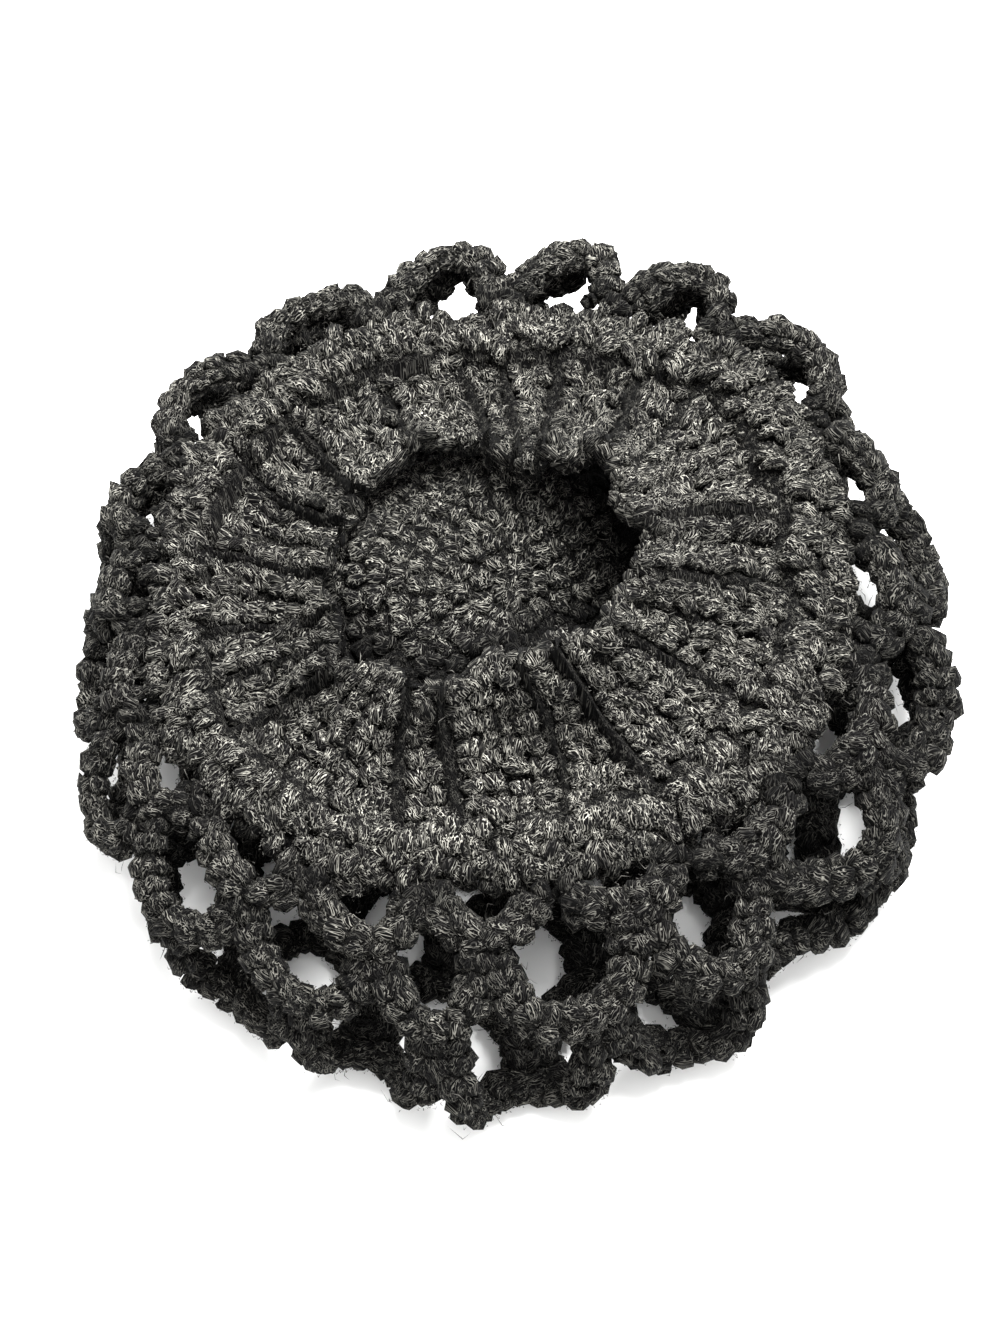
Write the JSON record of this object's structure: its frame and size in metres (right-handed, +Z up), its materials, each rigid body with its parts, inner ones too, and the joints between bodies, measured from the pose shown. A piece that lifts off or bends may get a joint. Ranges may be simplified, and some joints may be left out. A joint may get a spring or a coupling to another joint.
{
  "type": "slouchy crochet beanie",
  "caption": "Slouchy crocheted beanie resting on its solid crown with the opening up, an open body of hooked arches and a ribbed band gathered round the head opening.",
  "frame": {"origin": "middle of the hat's outline seen from above, on the surface that it rests on", "axes": "+Z up, out of the head opening; +Y from the slouching front to the back, as the picture's camera looks"},
  "size_m": [0.2798, 0.303, 0.0896],
  "materials": {
    "crown": "charcoal melange wool, solid crochet",
    "body": "charcoal melange wool, open crochet",
    "joining": "charcoal melange wool, corded edge",
    "band": "charcoal melange wool, ribbed crochet"
  },
  "bodies": {
    "root": {"crown": "crown", "mesh_round_1": "body", "mesh_round_2": "body", "mesh_round_3": "body", "mesh_round_4": "body", "mesh_round_5": "body", "joining_round": "joining", "band": "band"}
  },
  "joints": []
}
